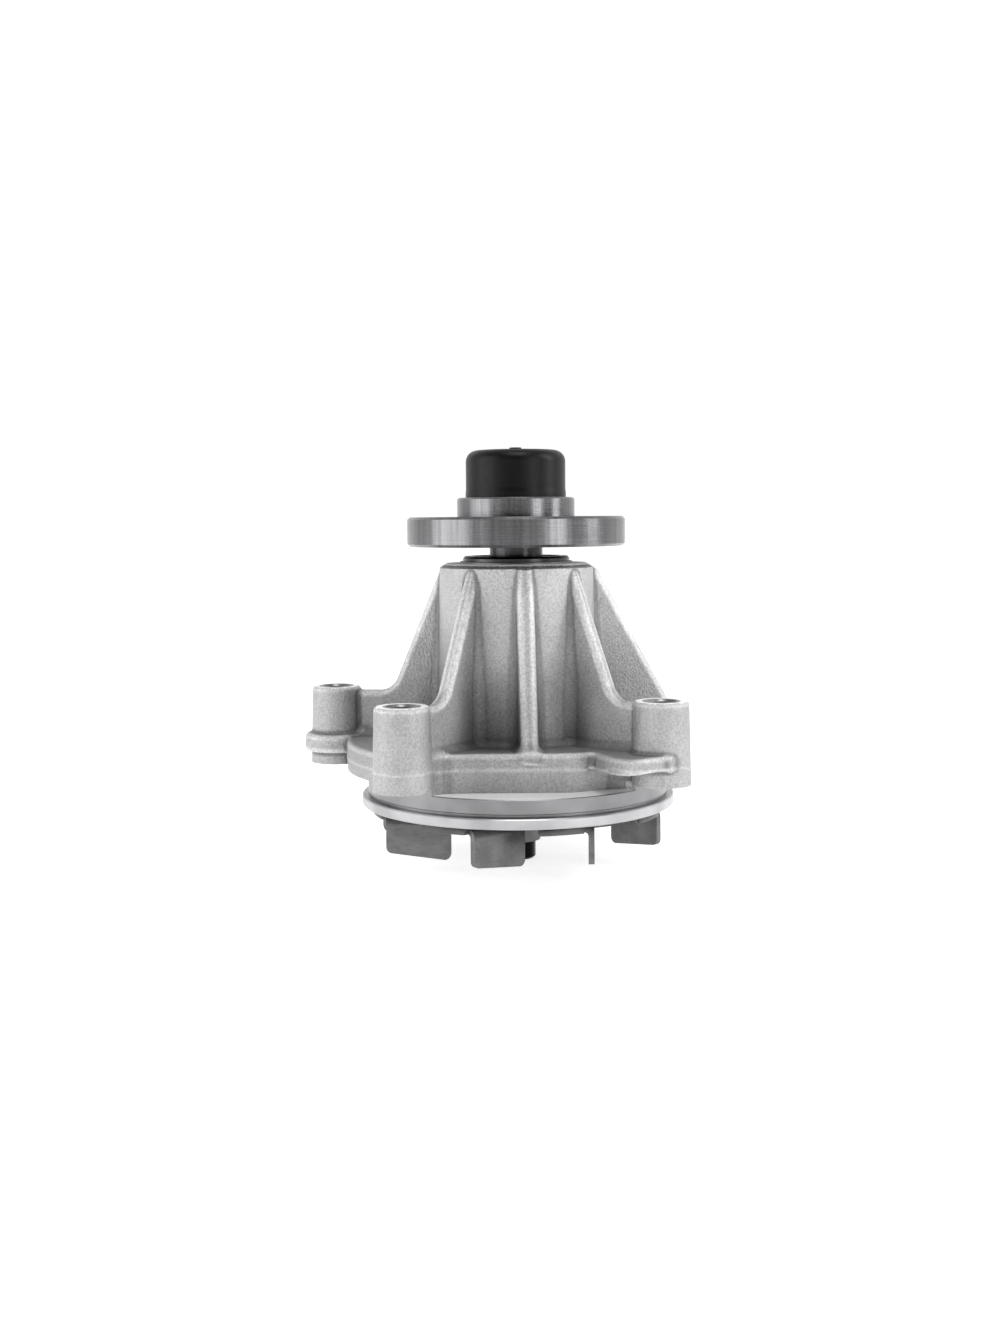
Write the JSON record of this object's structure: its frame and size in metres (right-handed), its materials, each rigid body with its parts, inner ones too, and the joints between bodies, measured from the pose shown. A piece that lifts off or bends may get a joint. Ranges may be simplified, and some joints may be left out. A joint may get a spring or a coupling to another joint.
{
  "type": "water pump",
  "caption": "Engine water pump with a ribbed cast housing, a pulley hub on a sealed shaft bearing and a stamped bladed impeller.",
  "frame": {"origin": "shaft axis where it crosses the mounting plane", "axes": "+Z along the shaft towards the pulley hub; -Y is the side where the body is cut flat"},
  "size_m": [0.1386, 0.1269, 0.1471],
  "materials": {
    "cast_aluminium": "shot-blasted die casting",
    "turned_steel": "turned, lightly oiled",
    "ground_steel": "ground",
    "bearing_steel": "ground, oiled",
    "polished_steel": "polished",
    "stamped_steel": "cold-rolled sheet, stamped",
    "spring_steel": "drawn wire and pressed sheet",
    "drawn_brass": "drawn sheet",
    "seal_rubber": "moulded nitrile rubber",
    "cap_rubber": "moulded, satin",
    "cage_polyamide": "moulded glass-filled polyamide",
    "carbon": "lapped carbon graphite",
    "ceramic": "lapped alumina"
  },
  "bodies": {
    "pump_body": {"housing": "cast_aluminium", "bearing_outer_ring": "bearing_steel", "front_bearing_seal": "seal_rubber", "rear_bearing_seal": "seal_rubber", "seal_case": "drawn_brass", "seal_bellows": "seal_rubber", "upper_spring_washer": "spring_steel", "seal_spring": "spring_steel", "lower_spring_washer": "spring_steel", "carbon_ring": "carbon"},
    "rotor": {"shaft": "ground_steel", "pulley_hub": "turned_steel", "impeller": "stamped_steel", "slinger": "cage_polyamide", "seat_cup": "seal_rubber", "seal_seat": "ceramic"},
    "ball_train": {"bearing_balls": "polished_steel", "ball_cage": "cage_polyamide"},
    "roller_train": {"bearing_rollers": "polished_steel", "roller_cage": "cage_polyamide"},
    "cap": {"thread_cap": "cap_rubber"}
  },
  "joints": [
    {"name": "rotor_spin", "type": "hinge", "parent": "pump_body", "child": "rotor", "pos_m": [0, 0, 0], "axis": [0, 0, 1], "continuous": true},
    {"name": "ball_train_spin", "type": "hinge", "parent": "pump_body", "child": "ball_train", "pos_m": [0, 0, 0], "axis": [0, 0, 1], "continuous": true},
    {"name": "roller_train_spin", "type": "hinge", "parent": "pump_body", "child": "roller_train", "pos_m": [0, 0, 0], "axis": [0, 0, 1], "continuous": true},
    {"name": "cap_pull", "type": "slide", "parent": "rotor", "child": "cap", "axis": [0, 0, 1], "range_m": [0, 0.03]}
  ],
  "couplings": [
    {"joint": "ball_train_spin", "follows": "rotor_spin", "ratio": 0.3405},
    {"joint": "roller_train_spin", "follows": "rotor_spin", "ratio": 0.3803}
  ]
}
